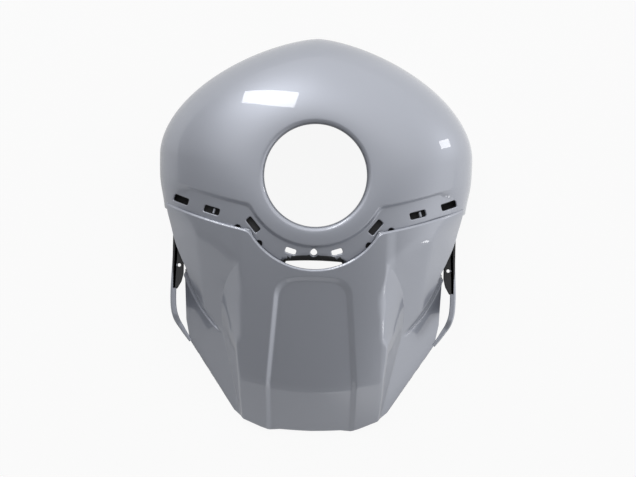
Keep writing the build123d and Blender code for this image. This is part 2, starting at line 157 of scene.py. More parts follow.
def tank_form(q):
    """Point of the tank form for a parameter point whose radius is the length along the skin from the filler
    axis and whose angle is the bearing; inside the crown ring it rolls over the lip and down."""
    skin, bearing = np.hypot(q[:, 0], q[:, 1]), np.arctan2(q[:, 1], q[:, 0])
    width, front, rear, centre, full, z = form_level(skin)
    c, s = np.cos(bearing), np.sin(bearing)
    reach, wide, long = level_reach(front, rear, centre, full, s > 0)
    radius = np.hypot(width * c, reach * s)
    for _ in range(NEWTON_STEPS):
        sideways, lengthways = np.abs(radius * c / width) ** wide, np.abs(radius * s / reach) ** long
        radius = radius * (1 - (sideways + lengthways - 1) / (wide * sideways + long * lengthways))
    roll = np.clip((FILLER_RADIUS + LIP_ROUND - skin) / LIP_ROUND, 0, np.pi / 2)
    down = np.maximum(FILLER_RADIUS + LIP_ROUND * (1 - np.pi / 2) - skin, 0)
    inner = np.where(skin < FILLER_RADIUS + LIP_ROUND, FILLER_RADIUS + LIP_ROUND * (1 - np.sin(roll)), skin)
    radius = np.where(skin < CROWN, inner, radius)
    z = z - LIP_ROUND * (1 - np.cos(roll)) - down
    return np.stack([radius * c, centre + radius * s, z], 1)


def form_at(x, y):
    """Parameter point and height of the tank form over a plan point, by halving the range of skin lengths."""
    low, high = np.full(np.shape(x), CROWN), np.full(np.shape(x), CROWN + SHOULDER_ARC)
    for _ in range(HALVINGS):
        skin = (low + high) / 2
        width, front, rear, centre, full, z = form_level(skin)
        reach, wide, long = level_reach(front, rear, centre, full, y > centre)
        within = np.abs(x / width) ** wide + np.abs((y - centre) / reach) ** long < 1
        low, high = np.where(within, low, skin), np.where(within, skin, high)
    bearing = np.arctan2(y - centre, x)
    return np.stack([skin * np.cos(bearing), skin * np.sin(bearing)], -1), z


def steepness(x, y, step=0.5):
    """Upright height of the tank form's wall over its thickness: the length of both slopes and one."""
    _, z = form_at(x, y)
    across, along = form_at(x + step, y)[1] - z, form_at(x, y + step)[1] - z
    return np.sqrt(1 + (across / step) ** 2 + (along / step) ** 2)


def facing(surface, q, step=0.05):
    """Unit normals of a surface at parameter points: the cross product of its slopes along both."""
    across = surface(q + (step, 0)) - surface(q - (step, 0))
    along = surface(q + (0, step)) - surface(q - (0, step))
    normal = np.cross(across, along)
    return normal / np.linalg.norm(normal, axis=1, keepdims=True)


def ease(t):
    """Smooth rise from 0 to 1."""
    t = np.clip(t, 0, 1)
    return t * t * (3 - 2 * t)


def soft_min(a, b, blend):
    """The lower of two heights, rounded over where they are within the blend of each other."""
    h = np.clip(0.5 + 0.5 * (b - a) / blend, 0, 1)
    return b + (a - b) * h - blend * h * (1 - h)


JOGGLE, JOGGLE_AHEAD, JOGGLE_RUN = 6.0, 1.5, 6.5
RAMP_X, RAMP_WIDTH, RAMP_RUN, RAMP_SHARE = 160.0, 40.0, 32.0, 0.45
CORNER_X, CORNER_Y, SEAM_SWEEP, SEAM_CURL, SEAM_BLEND = 81.5, -38.0, 0.2, 0.0008, 5.0
STEP_DIP, FLANGE_SHOWN, FLANGE_TUCK = 89.0, 32.0, 11.0
FLANGE = FLANGE_SHOWN + FLANGE_TUCK
RELIEF_Y, RELIEF_HALF, RELIEF_BOW, RELIEF_END, RELIEF_ROLL = -101.5, 40.0, 6.0, -113.5, 1.5
HEAD_RELIEF_HALF, HEAD_RELIEF_RISE = 70.0, 28.0


def flank_line(x, back):
    """Y and slope of the seam's flank line moved back: a straight sweep that curls up towards the rim."""
    run = np.abs(x) - CORNER_X
    return CORNER_Y + SEAM_SWEEP * run + SEAM_CURL * run * run - back, SEAM_SWEEP + 2 * SEAM_CURL * run


def bend_radius(back, dip):
    """Radius of the seam's bend behind the filler: an arc through both corners and the dip at the middle."""
    rise = CORNER_Y - back + dip
    return (CORNER_X ** 2 + rise ** 2) / (2 * rise)


def behind_seam(x, y, back, dip):
    """Distance behind the seam curve moved back: the lesser of the distance outside the bend behind the
    filler and the distance behind the flank line."""
    line, slope = flank_line(x, back)
    bend = bend_radius(back, dip)
    return soft_min(np.hypot(x, y + dip - bend) - bend, (line - y) / np.hypot(1, slope), SEAM_BLEND)


def behind_relief(x, y):
    """Distance behind the arc along which the middle of the flange turns down."""
    arc = RELIEF_Y - RELIEF_BOW * (x / RELIEF_HALF) ** 2
    return np.where(np.abs(x) < RELIEF_HALF, np.maximum(arc - y, 0), 0)


def front_skin(q):
    """The tank form, let in by the joggle behind the step line and turned down behind the relief arc; towards
    the rim the step runs out into a shallower ramp."""
    p = tank_form(q)
    x, y = p[:, 0], p[:, 1]
    ramp = ease((np.abs(x) - RAMP_X) / RAMP_WIDTH)
    stepped = ease((behind_seam(x, y, 0, STEP_DIP) + JOGGLE_AHEAD) / (JOGGLE_RUN + RAMP_RUN * ramp))
    fall = behind_relief(x, y)
    depth = JOGGLE * (1 - RAMP_SHARE * ramp) * stepped + fall ** 2 / (fall + RELIEF_ROLL)
    return p - facing(tank_form, q) * depth[:, None]


def on_skin(plan):
    """Parameter points of the front skin under plan points, found by repeated correction."""
    aim = plan.copy()
    for _ in range(CORRECTIONS):
        q, _ = form_at(aim[:, 0], aim[:, 1])
        aim += plan - front_skin(q)[:, :2]
    return q


def ray_cut(bearings, past):
    """Parameter points where rays at the bearings first pass a limit, by halving the range of lengths."""
    ray = np.stack([np.cos(bearings), np.sin(bearings)], 1)
    low, high = np.full(len(bearings), CROWN), np.full(len(bearings), RIM - EDGE)
    for _ in range(HALVINGS):
        skin = (low + high) / 2
        over = past(tank_form(ray * skin[:, None]))
        low, high = np.where(over, low, skin), np.where(over, skin, high)
    return ray * skin[:, None]


def past_front_edge(p):
    """True past the flange's rear edge, the relief in its middle, or the arched rim at the front."""
    x, y, z = p.T
    tucked = behind_seam(x, y, FLANGE, STEP_DIP + FLANGE) > -EDGE
    relieved = (y < RELIEF_END + EDGE) & (np.abs(x) < RELIEF_HALF)
    arch = HEAD_RELIEF_RISE * np.sqrt(np.clip(1 - (x / HEAD_RELIEF_HALF) ** 2, 0, 1))
    return tucked | relieved | ((y > 0) & (z < arch + EDGE - RIM_DROP))


def ring(radius, step):
    """Points round a circle, about a step apart."""
    turn = np.arange(0, 1, step / (2 * np.pi * radius)) * 2 * np.pi
    return radius * np.stack([np.cos(turn), np.sin(turn)], 1)


def slot_loop(length, width, corner, spot, lean, points=48, fill=5):
    """Rounded rectangle about a plan spot, turned by its lean: box corners moved out by a corner circle, with
    points added along the straight sides."""
    turn = np.linspace(0, 2 * np.pi, points, endpoint=False)
    c, s = np.cos(turn), np.sin(turn)
    box = np.stack([np.sign(c) * (length / 2 - corner), np.sign(s) * (width / 2 - corner)], 1)
    loop = box + corner * np.stack([c, s], 1)
    pairs = zip(loop, np.roll(loop, -1, 0))
    sides = [np.linspace(a, b, fill)[:-1] for a, b in pairs if np.hypot(*(b - a)) > 1]
    loop = np.concatenate(sides + [loop])
    loop = loop[np.argsort(np.arctan2(loop[:, 1] / width, loop[:, 0] / length))]
    c, s = np.cos(lean), np.sin(lean)
    return loop @ np.array([[c, s], [-s, c]]) + spot


def net_points(low, high, coarse, fine, busy):
    """Points of a square grid over a box, kept at the fine step only where the surface is busy."""
    xs, ys = np.meshgrid(np.arange(low[0], high[0], fine), np.arange(low[1], high[1], fine))
    ratio = int(round(coarse / fine))
    i, j = np.indices(xs.shape)
    points = np.stack([xs.ravel(), ys.ravel()], 1)
    keep = busy(points) | ((i % ratio == 0) & (j % ratio == 0)).ravel()
    return points[keep]


def shares(points, loop):
    """Row numbers of the points in shares small enough to be set against a whole loop at once."""
    return np.array_split(np.arange(len(points)), max(1, len(points) * len(loop) // 4_000_000))


def inside(points, loops):
    """True for points inside an odd number of loops, by counting the loop sides to their right."""
    odd = np.zeros(len(points), bool)
    for loop in loops:
        a, b = loop, np.roll(loop, -1, 0)
        for part in shares(points, loop):
            x, y = points[part, :1], points[part, 1:]
            spans = (a[:, 1] > y) != (b[:, 1] > y)
            with np.errstate(divide="ignore", invalid="ignore"):
                cross = a[:, 0] + (y - a[:, 1]) * (b[:, 0] - a[:, 0]) / (b[:, 1] - a[:, 1])
            odd[part] ^= (spans & (x < cross)).sum(1) % 2 == 1
    return odd


def trimmed_net(loops, points, clear):
    """Triangles inside the first loop and outside the others: a Delaunay net over the loops and those points
    that keep clear of them."""
    rims = np.concatenate(loops)
    points = points[inside(points, loops)]
    far = np.ones(len(points), bool)
    for part in shares(points, rims):
        gap = points[part, None] - rims
        far[part] = ((gap * gap).sum(2) > clear * clear).all(1)
    verts = np.concatenate([rims, points[far]])
    starts = np.cumsum([0] + [len(loop) for loop in loops])
    edges = [(s + i, s + (i + 1) % len(loop)) for s, loop in zip(starts, loops) for i in range(len(loop))]
    made = delaunay_2d_cdt([Vector(v) for v in verts.tolist()], edges, [], 0, 1e-7)
    q, tris = np.array([v[:] for v in made[0]]), np.array(made[2])
    tris = tris[inside(q[tris].mean(1), loops)]
    used, tris = np.unique(tris, return_inverse=True)
    return q[used], tris.reshape(-1, 3)


def moulding(outer, normals, tris, wall=WALL, rounds=6):
    """A skin given its wall: the same net moved in along its normals, and a half-round rim along every open
    edge. Gives points, normals, faces and, for each face, 0 outside and 1 inside."""
    count = len(outer)
    sides = np.concatenate([tris[:, [0, 1]], tris[:, [1, 2]], tris[:, [2, 0]]])
    rim = sides[~np.isin(sides[:, 0] * count + sides[:, 1], sides[:, 1] * count + sides[:, 0])]
    along = outer[rim[:, 1]] - outer[rim[:, 0]]
    away = np.cross(along, normals[rim[:, 0]])
    away /= np.linalg.norm(away, axis=1, keepdims=True)
    out = np.zeros_like(outer)
    np.add.at(out, rim[:, 0], away)
    np.add.at(out, rim[:, 1], away)
    ids, spots = np.unique(rim, return_inverse=True)
    spots = spots.reshape(-1, 2)
    n = normals[ids]
    out = out[ids] - (out[ids] * n).sum(1, keepdims=True) * n
    out /= np.linalg.norm(out, axis=1, keepdims=True)
    points, facings = [outer, outer - normals * wall], [normals, -normals]
    faces, finish = [tris, tris[:, ::-1] + count], [np.zeros(len(tris), int), np.ones(len(tris), int)]
    last = rim
    for k in range(1, rounds + 1):
        turn = np.pi * k / rounds
        side = np.cos(turn) * n + np.sin(turn) * out
        points.append(outer[ids] - n * wall / 2 + side * wall / 2)
        facings.append(side)
        this = spots + count * 2 + (k - 1) * len(ids) if k < rounds else rim + count
        quads = np.stack([last[:, 1], last[:, 0], this[:, 0], this[:, 1]], 1)
        faces.append(quads)
        finish.append(np.full(len(quads), int(2 * k > rounds)))
        last = this
    return np.concatenate(points[:-1]), np.concatenate(facings[:-1]), faces, np.concatenate(finish)


def make_piece(name, mouldings, finishes):
    """One object at the origin from several point, normal, face and finish sets, in metres in the frame."""
    points, facings, faces, finish, count = [], [], [], [], 0
    for p, n, f, m in mouldings:
        points.append(np.column_stack([p[:, :2], np.maximum(p[:, 2], -RIM_DROP)]))
        facings.append(n)
        faces += [tuple(face) for group in f for face in (group + count).tolist()]
        finish.append(m)
        count += len(p)
    mesh = bpy.data.meshes.new(name)
    mesh.from_pydata(((np.concatenate(points) + (0, 0, LIFT)) * MM).tolist(), [], faces)
    mesh.polygons.foreach_set("material_index", np.concatenate(finish).astype(np.int32))
    mesh.polygons.foreach_set("use_smooth", np.ones(len(faces), bool))
    mesh.normals_split_custom_set_from_vertices(np.concatenate(facings).tolist())
    for material in finishes:
        mesh.materials.append(material)
    piece = bpy.data.objects.new(name, mesh)
    bpy.context.scene.collection.objects.link(piece)
    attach(piece, "root")
    return piece


COARSE, FINE, CLEAR, RIM_POINTS = 4.0, 1.0, 0.8, 1400
BUSY_AHEAD, BUSY_BEHIND = 3.0, 7.0


def near_step(q):
    """True where the skin rolls over the step or the filler lip."""
    p = tank_form(q)
    gap = behind_seam(p[:, 0], p[:, 1], 0, STEP_DIP)
    skin = np.hypot(q[:, 0], q[:, 1])
    return ((gap > -BUSY_AHEAD) & (gap < BUSY_BEHIND)) | (skin < CROWN + FINE)


SLOT_XS, SLOT_LENGTH, SLOT_WIDTH, SLOT_CORNER = (132, 174), 21, 8.5, 2
SLOT_BACK, ARC_SLOT_REACH = 0.65 * FLANGE_SHOWN, STEP_DIP + 0.37 * FLANGE_SHOWN
ARC_SLOTS = ((50.5, 21, 8), (17, 14, 6.6))
PEG_WIDTH, PEG_SPOTS = 8, ((70, -88), (98, -68.5))
RIVET_RADIUS, RIVET_AHEAD = 4.3, 3.6
SHADE_BLACK_BEHIND = 0.7

slots = []
for side in (-1, 1):
    for x in SLOT_XS:
        y, slope = flank_line(x, SLOT_BACK)
        slots.append((SLOT_LENGTH, SLOT_WIDTH, SLOT_CORNER, (side * x, y), side * np.arctan(slope)))
    for bearing, length, width in ARC_SLOTS:
        lean = side * np.radians(bearing)
        spot = (ARC_SLOT_REACH * np.sin(lean), -ARC_SLOT_REACH * np.cos(lean))
        slots.append((length, width, SLOT_CORNER, spot, lean))
    for x, y in PEG_SPOTS:
        slots.append((PEG_WIDTH, PEG_WIDTH, PEG_WIDTH / 2, (side * x, y), 0.0))
front_outline = ray_cut(np.linspace(-np.pi, np.pi, RIM_POINTS, endpoint=False), past_front_edge)
lip_foot = FILLER_RADIUS + LIP_ROUND * (1 - np.pi / 2) - (LIP_DEPTH - LIP_ROUND - EDGE)
loops = [front_outline, ring(lip_foot, step=2.0)]
for length, width, corner, spot, lean in slots:
    loops.append(on_skin(slot_loop(length + WALL, width + WALL, corner + EDGE, spot, lean)))
loops.append(on_skin(ring(RIVET_RADIUS + EDGE, step=1.2) + (0, RELIEF_Y + RIVET_AHEAD)))
q, tris = trimmed_net(loops, net_points((-RIM, -RIM), (RIM, RIM), COARSE, FINE, near_step), CLEAR)
points, facings, faces, finish = moulding(front_skin(q), facing(front_skin, q), tris)
# The outer faces of the lip that turns down behind the relief arc take the bare black finish: painted shade
# on that lip.
middle = tank_form(q)[tris].mean(1)
finish[:len(tris)] = behind_relief(middle[:, 0], middle[:, 1]) > SHADE_BLACK_BEHIND
front_parts = [(points, facings, faces, finish)]

# Sockets: bare black cups moulded behind the clip slots and the peg holes, closed at the bottom.
# The two slots beside the middle have none, so daylight shows through them.

SOCKET_DEPTH, SOCKET_FLOOR, JACKET, SOCKET_PLAY = 6.0, 2.0, 4.0, 0.2
SOCKET_SINK = JOGGLE + 0.75 * WALL
RIB_WIDTH, RIB_OFFSET, RIB_DROP = 0.6, 3.0, 1.5


def walls(rings):
    """Strips between rings of points one above the other, each strip with its own level normals; the first
    and last ring are closed by flat caps."""
    points, facings, faces, count = [], [], [], 0
    size = len(rings[0])
    i = np.arange(size)
    j = (i + 1) % size
    for low, high in zip(rings, rings[1:]):
        along = np.roll(low, -1, 0) - np.roll(low, 1, 0)
        normal = np.cross(along, high - low)
        normal /= np.linalg.norm(normal, axis=1, keepdims=True)
        points += [low, high]
        facings += [normal, normal]
        faces.append(np.stack([i, j, j + size, i + size], 1) + count)
        count += 2 * size
    for cap, up in ((rings[0], -1.0), (rings[-1], 1.0)):
        points.append(cap)
        facings.append(np.tile((0.0, 0.0, up), (size, 1)))
        faces.append((i if up > 0 else i[::-1])[None] + count)
        count += size
    return np.concatenate(points), np.concatenate(facings), faces, np.ones(sum(len(f) for f in faces), int)


def at_height(loop, z):
    """Plan loop at a height, given as one number or one for each point."""
    return np.column_stack([loop, np.broadcast_to(z, len(loop))])


def plate(loops, z, step, wall=WALL):
    """A flat plate with rounded edges between an outline and its holes, top face at a height."""
    low, high = loops[0].min(0), loops[0].max(0)
    even = net_points(low, high, step, step, lambda p: np.ones(len(p), bool))
    q, tris = trimmed_net(loops, even, step / 2)
    top = np.column_stack([q, np.full(len(q), z)])
    return moulding(top, np.tile((0.0, 0.0, 1.0), (len(q), 1)), tris, wall)


def corner_loop(corners, step):
    """Points along a polygon, about a step apart."""
    corners = np.array(corners, float)
    runs = []
    for a, b in zip(corners, np.roll(corners, -1, 0)):
        runs.append(np.linspace(a, b, max(2, int(np.hypot(*(b - a)) / step) + 1))[:-1])
    return np.concatenate(runs)


for length, width, corner, spot, lean in slots:
    if PEG_WIDTH < length < SLOT_LENGTH:
        continue
    opening = slot_loop(length - SOCKET_PLAY, width - SOCKET_PLAY, corner, spot, lean)
    jacket = slot_loop(length + JACKET, width + JACKET, corner + JACKET / 2, spot, lean)
    brim = form_at(*jacket.T)[1] - SOCKET_SINK * steepness(*jacket.T)
    mouth = form_at(*opening.T)[1] - SOCKET_SINK * steepness(*opening.T)
    foot = brim.min() - SOCKET_DEPTH
    front_parts.append(walls([at_height(jacket, foot), at_height(jacket, brim), at_height(opening, mouth),
                              at_height(opening, foot + SOCKET_FLOOR)]))
    if abs(spot[0]) == SLOT_XS[0]:
        rib_spot = (spot[0] + RIB_OFFSET, spot[1] + RIB_OFFSET * np.tan(lean))
        rib = slot_loop(RIB_WIDTH, width - WALL, RIB_WIDTH / 2, rib_spot, lean)
        front_parts.append(plate([rib], mouth.mean() - RIB_DROP, step=1.0))

# Legs: a wall down each flank behind the dome with an inward flange on top, in one with the front cover.
# A tongue at the end and a bare tab with a hole half way along locate it on the frame.

LEG_TOP, LEG_FLANGE, LEG_SHOULDER, LEG_CORNER = -106.0, 8.0, 3.0, 1.0
LEG_POINTS = ((193, -20), (190, -82), (192.5, -160), (188.5, -190), (178, -207.5), (166, -223))
LEG_FOOT, LEG_TAPER, TAPER_Y, TAPER_RUN = 1.0 - RIM_DROP, 22.0, -55.0, 147.0
TONGUE_Y, TONGUE_RUN, TONGUE_DROP, TONGUE_HEIGHT = -186.0, 16.0, 6.0, 9.0
NARROW_Y, NARROW_RUN, NARROW_SHARE = -192.0, 31.0, 0.45
LEG_STEPS, BARE_FROM, BARE_TO = 120, 24, 32


def through(points, count):
    """Points along a smooth curve through set-out points: cubic runs with slopes from the neighbours."""
    points = np.array(points, float)
    slopes = np.gradient(points, axis=0)
    u = np.linspace(0, len(points) - 1, count)
    i = np.minimum(u.astype(int), len(points) - 2)
    t = (u - i)[:, None]
    return (points[i] * (1 + 2 * t) * (1 - t) ** 2 + slopes[i] * t * (1 - t) ** 2
            + points[i + 1] * t * t * (3 - 2 * t) + slopes[i + 1] * t * t * (t - 1))


def leg_section():
    """Depth inward, share of the wall's height and extra height of the points round the leg's L section."""
    quarter, tip, base = (np.linspace(*ends) for ends in
                          ((0, np.pi / 2, 7), (np.pi / 2, -np.pi / 2, 9), (0, np.pi, 9)))
    outer_wall = (0.0, np.linspace(0, 0.8, 5), 0.0)
    shoulder = (LEG_SHOULDER * (1 - np.cos(quarter)), 1.0, LEG_SHOULDER * (np.sin(quarter) - 1))
    flange_top = (np.array((4.0, 5.0)), 1.0, 0.0)
    flange_edge = (LEG_FLANGE - EDGE + EDGE * np.cos(tip), 1.0, EDGE * np.sin(tip) - EDGE)
    flange_under = (np.array((5.5, 4.5)), 1.0, -WALL)
    fill = LEG_CORNER * (1 - np.array((np.sin(quarter), np.cos(quarter))))
    inner_corner = (WALL + fill[0], 1.0, -WALL - fill[1])
    inner_wall = (WALL, np.linspace(0.7, 0, 5), 0.0)
    foot = (EDGE + EDGE * np.cos(base), 0.0, -EDGE * np.sin(base))
    runs = (outer_wall, shoulder, flange_top, flange_edge, flange_under, inner_corner, inner_wall, foot)
    return np.concatenate([np.column_stack(np.broadcast_arrays(*run)) for run in runs]).T


def leg(side):
    """The L section carried along the leg's line: wall, rolled shoulder, flange and their inner faces. The
    wall's foot rises to the rear, and the strip lowers and narrows along the tongue."""
    line = through(LEG_POINTS, LEG_STEPS)
    along = np.gradient(line, axis=0)
    along /= np.linalg.norm(along, axis=1, keepdims=True)
    inward = np.column_stack([along[:, 1], -along[:, 0]])
    y = line[:, 1]
    tongue = ease((TONGUE_Y - y) / TONGUE_RUN)
    top = LEG_TOP - TONGUE_DROP * tongue
    foot = LEG_FOOT + LEG_TAPER * np.clip((TAPER_Y - y) / TAPER_RUN, 0, 1)
    foot = foot + (top - TONGUE_HEIGHT - foot) * tongue
    narrow = 1 - NARROW_SHARE * np.clip((NARROW_Y - y) / NARROW_RUN, 0, 1)
    depth, rise, extra = leg_section()
    z = foot[:, None] + (top - foot)[:, None] * rise + extra
    plan = line[:, None] + inward[:, None] * (depth * narrow[:, None])[:, :, None]
    grid = np.concatenate([plan, z[:, :, None]], 2) * (side, 1, 1)
    across = np.roll(grid, -1, 1) - np.roll(grid, 1, 1)
    normal = side * np.cross(np.gradient(grid, axis=0), across)
    normal /= np.linalg.norm(normal, axis=2, keepdims=True)
    rows, cols = z.shape
    i, j = np.indices((rows - 1, cols))
    k = (j + 1) % cols
    quads = np.stack([i * cols + j, (i + 1) * cols + j, (i + 1) * cols + k, i * cols + k], 2).reshape(-1, 4)
    caps = [np.arange(cols)[None], np.arange(cols)[None, ::-1] + (rows - 1) * cols]
    faces = [f if side > 0 else f[:, ::-1] for f in [quads] + caps]
    bare = np.tile((np.arange(cols) >= BARE_FROM) & (np.arange(cols) < BARE_TO), rows - 1)
    return grid.reshape(-1, 3), normal.reshape(-1, 3), faces, np.concatenate([bare.astype(int), [1, 1]])


TAB_OUTLINE = ((189, -151), (189, -75), (181, -77), (176.5, -86), (176.5, -131), (179, -141), (184, -150))
TAB_HOLE, TAB_HOLE_X, TAB_HOLE_Y = 2.25, 181.25, -119.6
for side in (-1, 1):
    front_parts.append(leg(side))
    tab = corner_loop([(side * x, y) for x, y in TAB_OUTLINE], step=1.5)[::side]
    hole = ring(TAB_HOLE + EDGE, step=1.0) + (side * TAB_HOLE_X, TAB_HOLE_Y)
    points, facings, faces, finish = plate([tab, hole], LEG_TOP, step=3.0)
    front_parts.append((points, facings, faces, np.ones_like(finish)))

# Pads: bare plates behind the flange, each on a short web that is moulded on the flange's underside.
# A cover screw goes up through each into a boss of the rear cover, whose foot rests on the pad.

SCREW_SPOTS = ((62, -124, -106.2), (118, -92, -61.6))
SEAT_DROP, SEAT_PLANE, SEAT_SLOPE, SEAT_FALL = 12.0, (120.4, -206.0, -101.1), 0.97, 0.726
PAD_HALF, PAD_THICK, PAD_HOLE, PAD_AHEAD = 7.0, 4.0, 3.0, 3.0
WEB_HALF, WEB_BEHIND, WEB_AHEAD, WEB_SINK = 9.0, 1.0, 3.0, JOGGLE + 0.8 * WALL


def under_cover(x, y):
    """Height of a screw's seat: a drop under the lower of the tank form and the flank's plane."""
    form = form_at(np.array([float(x)]), np.array([float(y)]))[1][0]
    plane = SEAT_PLANE[2] - SEAT_SLOPE * (x - SEAT_PLANE[0]) + SEAT_FALL * (y - SEAT_PLANE[1])
    return min(form, plane) - SEAT_DROP


for side in (-1, 1):
    for x, y, edge in SCREW_SPOTS:
        seat = under_cover(x, y)
        turn = np.linspace(np.pi, 2 * np.pi, 24)
        round_end = np.column_stack([x + PAD_HALF * np.cos(turn), y + PAD_HALF * np.sin(turn)])
        left, right = x - PAD_HALF, x + PAD_HALF
        box = [(right, y + PAD_AHEAD), (right, edge), (left, edge), (left, y + PAD_AHEAD)]
        # Dropping four points of the open side leaves a small notch beside the round end.
        outline = np.concatenate([round_end, corner_loop(box, step=2.0)[:-4]])
        hole = ring(PAD_HOLE + PAD_THICK / 2, step=1.0) + (x, y)
        pad = plate([outline * (side, 1), hole * (side, 1)], seat, step=2.5, wall=PAD_THICK)
        front_parts.append((*pad[:3], np.ones_like(pad[3])))
        left, right, rear, front = x - WEB_HALF, x + WEB_HALF, edge - WEB_BEHIND, edge + WEB_AHEAD
        web = corner_loop([(left, rear), (right, rear), (right, front), (left, front)], step=3.0)
        web = web if side > 0 else (web * (-1, 1))[::-1]
        brim = form_at(web[:, 0], web[:, 1])[1] - WEB_SINK
        front_parts.append(walls([at_height(web, seat - PAD_THICK), at_height(web, brim)]))

front_cover = make_piece("front_cover_skin", front_parts, [grey_paint, black_plastic])
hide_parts("front_cover")

# Rear cover: from behind the filler down to the seat, over the flange of the front cover. Painted moulding
# with a sunk channel, two ridges with steep bands below them, knee panels, wings and a turned-down chin.
# Four bosses under it stand on the pads.

RIDGE_X, RIDGE_END, RIDGE_BLEND, RIDGE_ROLL, RIDGE_ROLL_HALF = 98.0, 318.0, 3.5, 1.6, 8.0
BAND_TAPER, BAND_LEAN, BAND_TWIST, BAND_FOOT, BAND_RISE, BAND_BLEND = 0.2, 0.28, 1.5e-5, -142.0, 0.365, 1.5
CHIN_AXIS, CHIN_RADIUS, CHIN_DROP, CHIN_FLARE, CHIN_BLEND = -95.0, 185.0, 75.0, 1.06, 5.0
KNEE_SLOPE, WING_SLOPE, WING_FALL, WING_TIP, WING_BOW, WING_STEP = 0.8, 0.68, 0.69, -206.0, 7.0, 1.5
WING_CORNER, WING_SIDE = np.array((171.0, -124.0)), np.array((10.0, 26.0))
WING_BLEND, WING_BLEND_IN, WING_BLEND_BACK, WING_BLEND_RUN = 17.5, 15.0, 34.0, 35.0
STRIP_X, STRIP_LEAN, STRIP_SLOPE, STRIP_ROUND, STRIP_RUN = 150.0, 0.083, 0.5, 3.0, 30.0
FOLD_DEPTH, FOLD_BACK, FOLD_WIDTH, FOLD_RUN = 3.0, 3.0, 1.5, 12.0
EDGE_ROLL, EDGE_DROP, COVER_DIP = 2.5, 2.0, 118.0
CHANNEL_TOP, CHANNEL_TOP_HALF, CHANNEL_HALF, CHANNEL_RUN = -130.0, 46.0, 58.0, 142.0
CHANNEL_BOW, CHANNEL_DEPTH, CHANNEL_ROUND, CHANNEL_SIDE, CHANNEL_SIDE_OUT = 5.0, 5.0, 20.0, 9.0, 3.5
CHANNEL_CHIN_SHARE = 0.8


def band_foot(y):
    """Plan X and height of the line where the steep band meets the knee panel."""
    return RIDGE_X + BAND_TAPER * (y + RIDGE_END), BAND_FOOT + BAND_RISE * (y + RIDGE_END)


def inside_wing(x, y):
    """Distance inside the wing's rear edge, an arc from its tip on the band's foot to the knee's front
    corner, or ahead of the line that goes on from that corner, whichever is more."""
    tip = np.array((band_foot(WING_TIP)[0], WING_TIP))
    chord = WING_CORNER - tip
    half = np.hypot(*chord) / 2
    radius = (half ** 2 + WING_BOW ** 2) / (2 * WING_BOW)
    out = np.array((chord[1], -chord[0])) / (2 * half)
    middle = (tip + WING_CORNER) / 2 + out * (WING_BOW - radius)
    ahead = (y - WING_CORNER[1]) * WING_SIDE[1] - (x - WING_CORNER[0]) * WING_SIDE[0]
    return np.maximum(radius - np.hypot(x - middle[0], y - middle[1]), ahead / np.hypot(*WING_SIDE))


def flank_height(x, y, chin, strip, within):
    """Height of the flank: the higher of band and knee panel, cut by the chin, with the wing's plane added
    inside the wing and a fold groove along the wing's rear edge."""
    foot_x, foot_z = band_foot(y)
    lean = BAND_LEAN + BAND_TWIST * (y + RIDGE_END) ** 2
    band, knee = foot_z + (foot_x - x) / lean, foot_z - KNEE_SLOPE * (x - foot_x)
    flank = soft_min(-soft_min(-band, -knee, BAND_BLEND), chin, CHIN_BLEND)
    tip_x, tip_z = band_foot(WING_TIP)
    wing = tip_z - WING_SLOPE * (x - tip_x) + WING_FALL * (y - WING_TIP) - strip
    flank = flank + np.maximum(wing - flank, 0) * ease((within + WING_STEP) / (2 * WING_STEP))
    fold = FOLD_DEPTH * np.exp(-((within + FOLD_BACK) / FOLD_WIDTH) ** 2)
    return flank - fold * ease((x - tip_x) / FOLD_RUN)


def channel_share(x, y):
    """Share of the channel's depth, rising from 0 to 1 over its sides: a strip that widens to the rear,
    closed ahead by a bowed top."""
    along = np.clip((CHANNEL_TOP - y) / CHANNEL_RUN, 0, 1)
    half = CHANNEL_TOP_HALF + (CHANNEL_HALF - CHANNEL_TOP_HALF) * along
    sunk = soft_min(CHANNEL_TOP - CHANNEL_BOW * (x / half) ** 2 - y, half - x, CHANNEL_ROUND)
    return ease((sunk + CHANNEL_SIDE_OUT) / CHANNEL_SIDE)


def rear_height(x, y):
    """Height of the rear cover: the lower of the tank form and the flank, rounded where they meet, rolled
    down past the ridges and along the front edge, with the channel let into it."""
    x = np.abs(x)
    _, form = form_at(x, y)
    chin = -CHIN_DROP - (np.hypot(x, y - CHIN_AXIS) - CHIN_RADIUS) / CHIN_FLARE
    within, behind = inside_wing(x, y), behind_seam(x, y, FLANGE_SHOWN, COVER_DIP) - EDGE
    past_strip = x - STRIP_X - STRIP_LEAN * (y - WING_CORNER[1])
    strip = STRIP_SLOPE * (past_strip + np.hypot(past_strip, STRIP_ROUND)) / 2 * ease(behind / STRIP_RUN)
    softer = ease(within / WING_BLEND_IN) * ease((behind - WING_BLEND_BACK) / WING_BLEND_RUN)
    skin = soft_min(form - strip, flank_height(x, y, chin, strip, within), RIDGE_BLEND + WING_BLEND * softer)
    skin = skin - RIDGE_ROLL * ease((x - RIDGE_X + RIDGE_ROLL_HALF) / (2 * RIDGE_ROLL_HALF))
    skin = skin - EDGE_DROP * np.clip(1 - behind / EDGE_ROLL, 0, 1) ** 2
    chin_floor = chin - CHANNEL_CHIN_SHARE * CHANNEL_DEPTH * np.hypot(1, 1 / CHIN_FLARE)
    floor = soft_min(form - CHANNEL_DEPTH * steepness(x, y), chin_floor, CHIN_BLEND)
    return skin + np.minimum(floor - skin, 0) * channel_share(x, y)


def rear_skin(q):
    """The rear cover's skin over plan points."""
    return np.column_stack([q, rear_height(q[:, 0], q[:, 1])])


def seam_line(back, dip, end_x, step):
    """Right half of the seam curve moved back, from the middle outwards: the bend, then the flank line."""
    bend = bend_radius(back, dip)
    x = np.arange(0, CORNER_X, step)
    curve = np.column_stack([x, bend - dip - np.sqrt(bend ** 2 - x ** 2)])
    x = np.linspace(CORNER_X, end_x, int((end_x - CORNER_X) / step))
    return np.concatenate([curve, np.column_stack([x, flank_line(x, back)[0]])])


